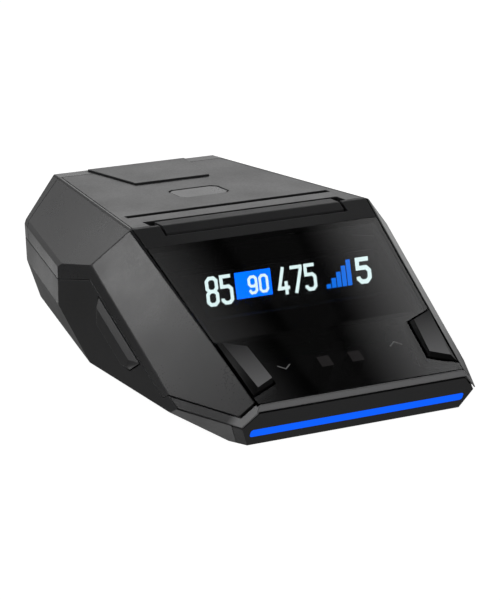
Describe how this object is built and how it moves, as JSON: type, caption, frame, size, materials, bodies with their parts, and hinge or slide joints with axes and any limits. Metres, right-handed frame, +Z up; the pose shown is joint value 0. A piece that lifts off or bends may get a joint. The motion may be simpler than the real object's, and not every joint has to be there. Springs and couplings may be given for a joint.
{
  "type": "radar detector",
  "caption": "Windscreen radar detector with a faceted two-shell case, sloping glass display panel, lit chin bar, press keys, rear window and bracket socket.",
  "frame": {"origin": "centre of the case's flat underside", "axes": "+X to the driver's right, +Y forwards towards the road, +Z up; the display faces -Y"},
  "size_m": [0.074, 0.1046, 0.0356],
  "materials": {
    "shell": "satin, fine grain",
    "trim": "satin",
    "band": "matt",
    "gloss_panel": "smoked, polished",
    "badge": "silk grey",
    "dark_window": "polished, infrared filter",
    "key": "satin",
    "light_guide": "clear, lit blue",
    "inner_plastic": "matt black",
    "board": "solder mask",
    "chip": "moulded epoxy",
    "steel": "plated",
    "zinc": "cast",
    "screen": "glass face",
    "ribbon": "polyimide",
    "ceramic": "fired ceramic",
    "foam": "closed-cell foam",
    "lens": "polished",
    "label": "blank film"
  },
  "bodies": {
    "casing": {"upper_shell": "shell", "lower_shell": "shell", "top_plate": "shell", "top_badge": "badge", "mount_pad": "band", "mount_socket": "inner_plastic", "front_band": "band", "front_glass": "gloss_panel", "sensor_windows": "lens", "chin_trim": "trim", "chin_plate": "band", "light_bar": "light_guide", "light_board": "board", "light_leds": "ceramic", "rear_frame": "shell", "rear_window": "dark_window", "key_switches": "steel", "key_board": "board", "bar_switch": "steel", "bar_board": "board", "side_switch": "steel", "side_board": "board", "screen_module": "screen", "screen_carrier": "inner_plastic", "screen_ribbon": "ribbon", "main_board": "board", "processor": "chip", "board_parts": "chip", "backup_cell": "steel", "horn_antenna": "zinc", "horn_stand": "zinc", "rf_shield": "steel", "laser_module": "inner_plastic", "laser_lens": "lens", "gps_antenna": "ceramic", "speaker": "inner_plastic", "speaker_gasket": "foam", "power_board": "board", "board_header": "chip", "dc_jack": "inner_plastic", "usb_port": "steel", "case_screws": "steel", "board_screws": "steel", "label": "label"},
    "left_key": {"key_left": "key", "plunger_left": "inner_plastic"},
    "right_key": {"key_right": "key", "plunger_right": "inner_plastic"},
    "top_key": {"bar_key": "key", "plunger_bar": "inner_plastic"},
    "side_button": {"side_key": "key", "plunger_side": "inner_plastic"}
  },
  "joints": [
    {"name": "left_key_press", "type": "slide", "parent": "casing", "child": "left_key", "axis": [0, 0.4981, -0.8671], "range_m": [0, 0.0006], "stiffness_N_per_m": 1500},
    {"name": "right_key_press", "type": "slide", "parent": "casing", "child": "right_key", "axis": [0, 0.4981, -0.8671], "range_m": [0, 0.0006], "stiffness_N_per_m": 1500},
    {"name": "top_key_press", "type": "slide", "parent": "casing", "child": "top_key", "axis": [0, 0, -1], "range_m": [0, 0.0005], "stiffness_N_per_m": 1500},
    {"name": "side_button_press", "type": "slide", "parent": "casing", "child": "side_button", "axis": [1, 0, 0], "range_m": [0, 0.0006], "stiffness_N_per_m": 1500}
  ]
}
